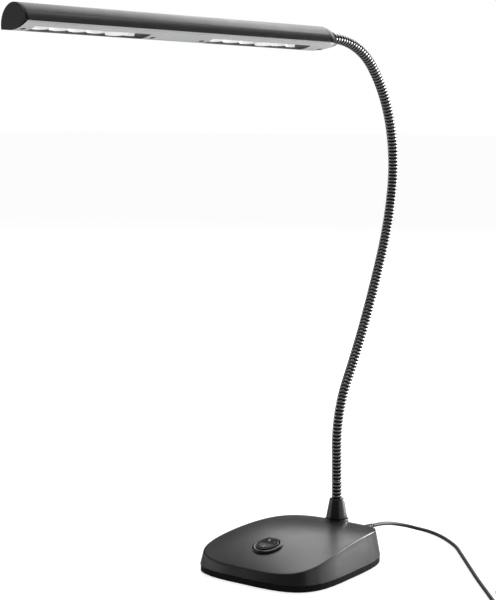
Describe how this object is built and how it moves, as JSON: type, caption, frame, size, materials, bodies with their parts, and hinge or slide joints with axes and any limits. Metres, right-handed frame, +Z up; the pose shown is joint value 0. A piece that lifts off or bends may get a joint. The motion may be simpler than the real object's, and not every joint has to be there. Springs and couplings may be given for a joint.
{
  "type": "gooseneck LED lamp",
  "caption": "Piano lamp: half-round light bar on a ribbed black gooseneck over a weighted square base with a rocker switch and a low-voltage cord.",
  "frame": {"origin": "centre of the base's underside, on the foam pad's lower face", "axes": "+Z up; -Y towards the front edge with the switch, +Y towards the neck and the cord; +X to the right seen from the front"},
  "size_m": [0.4335, 0.5214, 0.5394],
  "materials": {
    "foam": "matte",
    "plate_steel": "satin black powder coat",
    "iron": "raw",
    "cover_plastic": "fine textured satin charcoal",
    "screw_steel": "zinc plated",
    "circuit_board": "solder mask",
    "component_plastic": "moulded",
    "switch_plastic": "gloss black",
    "contact_metal": "tinned",
    "lead_plastic": "matt insulation",
    "neck_steel": "gloss black",
    "bright_steel": "zinc plated",
    "shade_aluminium": "satin anodised graphite",
    "cap_plastic": "matt black",
    "panel_plastic": "satin silver grey",
    "carrier_aluminium": "mill",
    "reflector_white": "gloss white",
    "led_phosphor": "phosphor",
    "cord_rubber": "matt black",
    "adapter_plastic": "fine textured black",
    "pin_brass": "nickel plated"
  },
  "bodies": {
    "base": {"foam_pad": "foam", "base_plate": "plate_steel", "ballast_weight": "iron", "base_cover": "cover_plastic", "base_screws": "screw_steel", "driver_board": "circuit_board", "board_spacers": "screw_steel", "board_screws": "screw_steel", "driver_parts": "component_plastic", "dc_jack": "component_plastic", "base_leads": "lead_plastic", "switch_collar": "switch_plastic", "switch_housing": "component_plastic", "rocker_pin": "screw_steel", "switch_terminals": "contact_metal", "neck_stud": "bright_steel", "neck_washer": "bright_steel", "neck_nut": "bright_steel", "neck_sleeve": "cover_plastic", "gooseneck_link_1": "neck_steel", "neck_lead_1": "lead_plastic", "plug_barrel": "bright_steel", "plug_body": "cord_rubber", "power_cord": "cord_rubber", "cord_coil": "cord_rubber", "cord_tail": "cord_rubber", "adapter_relief": "cord_rubber", "adapter_shell": "adapter_plastic", "adapter_lid": "adapter_plastic", "mains_pins": "pin_brass"},
    "neck_2": {"gooseneck_link_2": "neck_steel", "neck_lead_2": "lead_plastic"},
    "neck_3": {"gooseneck_link_3": "neck_steel", "neck_lead_3": "lead_plastic"},
    "neck_4": {"gooseneck_link_4": "neck_steel", "neck_lead_4": "lead_plastic"},
    "neck_5": {"gooseneck_link_5": "neck_steel", "neck_lead_5": "lead_plastic"},
    "neck_6": {"gooseneck_link_6": "neck_steel", "neck_lead_6": "lead_plastic"},
    "neck_7": {"gooseneck_link_7": "neck_steel", "neck_lead_7": "lead_plastic"},
    "head": {"gooseneck_link_8": "neck_steel", "neck_lead_8": "lead_plastic", "shade": "shade_aluminium", "front_end_cap": "cap_plastic", "rear_end_cap": "shade_aluminium", "light_panel": "panel_plastic", "board_carrier": "carrier_aluminium", "reflector_1": "reflector_white", "reflector_2": "reflector_white", "led_board_1": "reflector_white", "led_board_2": "reflector_white", "led_chips": "led_phosphor", "panel_screws": "screw_steel", "head_ferrule": "bright_steel", "ferrule_nut": "bright_steel", "head_leads": "lead_plastic"},
    "rocker": {"switch_rocker": "switch_plastic"}
  },
  "joints": [
    {"name": "neck_bend_1", "type": "hinge", "parent": "base", "child": "neck_2", "pos_m": [0, 0.0659, 0.11099], "axis": [1, 0, 0], "range_deg": [-14, 14]},
    {"name": "neck_sway_2", "type": "hinge", "parent": "neck_2", "child": "neck_3", "pos_m": [0, 0.08296, 0.17698], "axis": [0, 0.866, -0.5], "range_deg": [-15, 15]},
    {"name": "neck_bend_3", "type": "hinge", "parent": "neck_3", "child": "neck_4", "pos_m": [0, 0.11482, 0.23816], "axis": [1, 0, 0], "range_deg": [-14, 14]},
    {"name": "neck_sway_4", "type": "hinge", "parent": "neck_4", "child": "neck_5", "pos_m": [0, 0.14205, 0.30155], "axis": [0, 0.9304, -0.3665], "range_deg": [-15, 15]},
    {"name": "neck_bend_5", "type": "hinge", "parent": "neck_5", "child": "neck_6", "pos_m": [0, 0.15987, 0.36805], "axis": [0.999, 0.0431, -0.0064], "range_deg": [-16, 16]},
    {"name": "neck_sway_6", "type": "hinge", "parent": "neck_6", "child": "neck_7", "pos_m": [0.00068, 0.15422, 0.4362], "axis": [-0.039, 0.9502, 0.3091], "range_deg": [-18, 18]},
    {"name": "neck_bend_7", "type": "hinge", "parent": "neck_7", "child": "head", "pos_m": [0.00262, 0.11806, 0.49413], "axis": [0.9673, -0.1499, -0.2045], "range_deg": [-20, 20]},
    {"name": "rocker_turn", "type": "hinge", "parent": "base", "child": "rocker", "pos_m": [0, -0.04614, 0.03028], "axis": [-1, 0, 0], "range_deg": [0, 16]}
  ]
}
